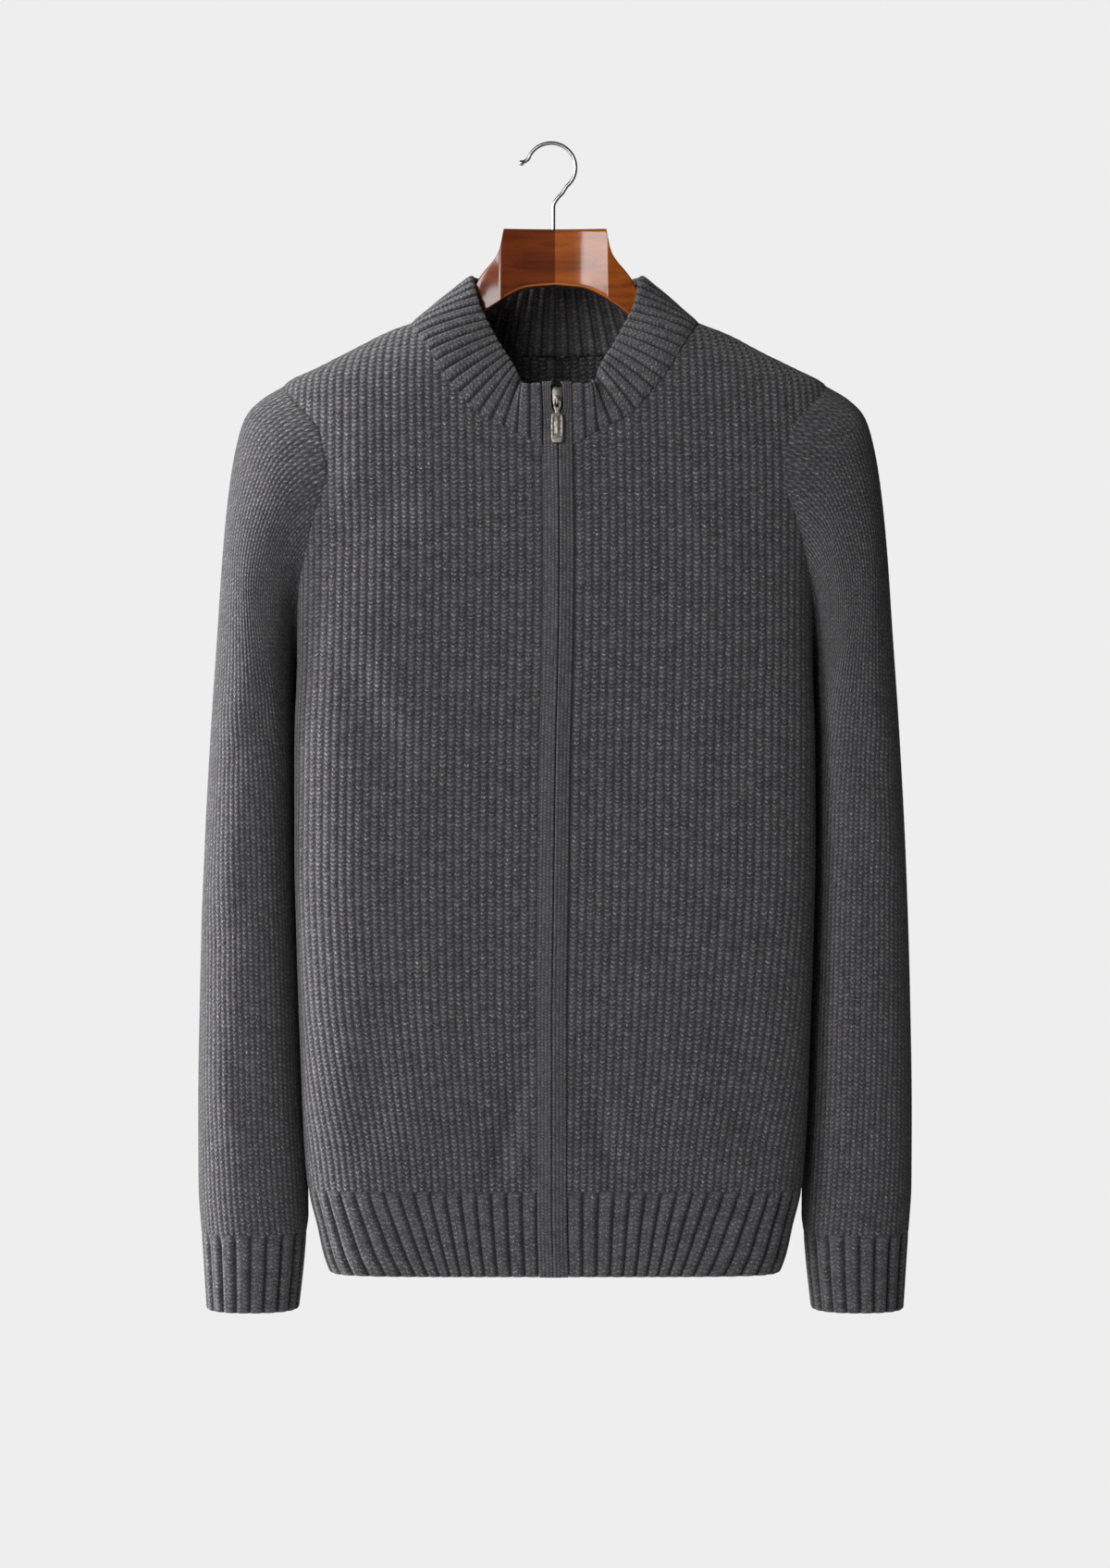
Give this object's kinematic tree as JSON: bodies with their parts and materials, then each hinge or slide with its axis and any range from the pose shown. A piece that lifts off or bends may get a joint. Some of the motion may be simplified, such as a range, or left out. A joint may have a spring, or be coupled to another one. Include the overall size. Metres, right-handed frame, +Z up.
{
  "type": "zip-up cardigan on a hanger",
  "caption": "Zip-up knitted cardigan with a ribbed stand collar, hem and cuffs, filled out and hung on a wooden hanger with a wire hook.",
  "frame": {"origin": "inner crown of the hanger's hook, where a rail carries it", "axes": "+Z up, front of the cardigan towards -Y, wearer's left towards +X"},
  "size_m": [0.524, 0.159, 0.8575],
  "materials": {
    "charcoal_knit": "soft marl knit, matt",
    "charcoal_rib": "ribbed marl knit, matt",
    "zip_tape": "woven tape, matt",
    "zip_metal": "aged nickel plate, satin",
    "lacquered_wood": "high gloss lacquer over red-brown wood",
    "polished_steel": "polished plated wire"
  },
  "bodies": {
    "cardigan": {"back": "charcoal_knit", "front_left": "charcoal_knit", "front_right": "charcoal_knit", "sleeve_left": "charcoal_knit", "sleeve_right": "charcoal_knit", "cuff_left": "charcoal_rib", "cuff_right": "charcoal_rib", "hem_rib_left": "charcoal_rib", "hem_rib_right": "charcoal_rib", "hem_rib_back": "charcoal_rib", "collar": "charcoal_rib", "placket_left": "charcoal_rib", "placket_right": "charcoal_rib", "zip_tape_left": "zip_tape", "zip_tape_right": "zip_tape", "zip_chain": "zip_metal", "zip_slider": "zip_metal", "hanger_body": "lacquered_wood", "hanger_hook": "polished_steel"},
    "pull_tab": {"zip_pull": "zip_metal"}
  },
  "joints": [
    {"name": "pull_tab_hinge", "type": "hinge", "parent": "cardigan", "child": "pull_tab", "pos_m": [0.00166, -0.07144, -0.19355], "axis": [-1, 0, 0], "range_deg": [0, 150]}
  ]
}
